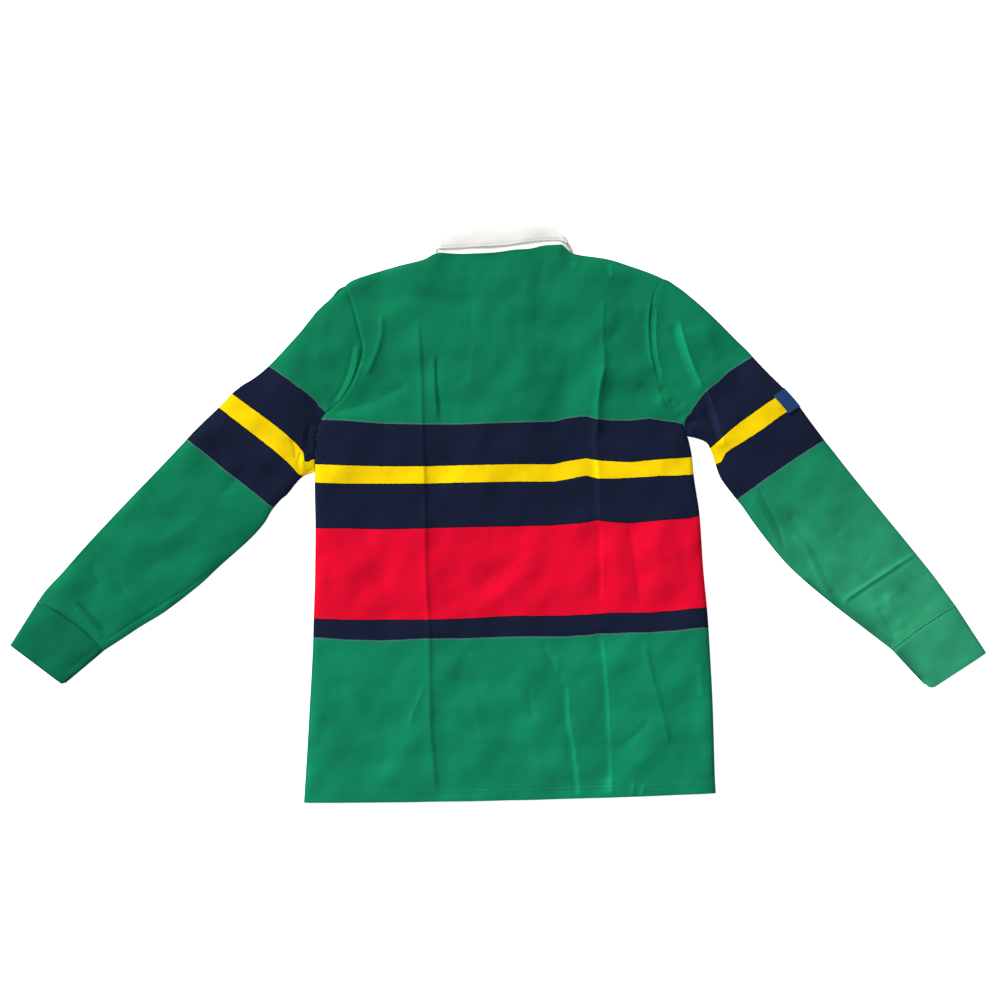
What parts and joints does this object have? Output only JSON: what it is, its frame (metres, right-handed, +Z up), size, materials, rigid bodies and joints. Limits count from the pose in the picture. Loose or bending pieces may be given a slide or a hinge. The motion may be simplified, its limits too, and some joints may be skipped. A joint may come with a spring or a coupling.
{
  "type": "long-sleeved rugby polo shirt, laid flat on its front",
  "caption": "Long-sleeved rugby polo shirt in heavy striped cotton jersey, with a white turned-down collar and ribbed cuffs, laid out flat with its back up.",
  "frame": {"origin": "under the middle of the laid-out shirt, on the surface that it lies on", "axes": "+X to the shirt's right as seen from above with the collar at the top, which is the wearer's right; +Y from the hem to the collar; +Z up, out of the back of the shirt"},
  "size_m": [1.327, 0.7932, 0.0122],
  "materials": {
    "striped_jersey": "heavy cotton jersey, green with navy, yellow and red yarn-dyed bands, matt with a soft nap",
    "cuff_rib": "fine cotton rib, green, matt",
    "collar_twill": "off-white cotton twill, matt",
    "button_rubber": "satin",
    "woven_label": "blue woven damask label, slight sheen"
  },
  "bodies": {
    "root": {"back": "striped_jersey", "front": "striped_jersey", "sleeve_left": "striped_jersey", "sleeve_right": "striped_jersey", "cuff_left": "cuff_rib", "cuff_right": "cuff_rib", "collar_stand": "collar_twill", "collar_leaf": "collar_twill", "placket": "collar_twill", "button_1": "button_rubber", "button_2": "button_rubber", "button_3": "button_rubber", "sleeve_label": "woven_label"}
  },
  "joints": []
}
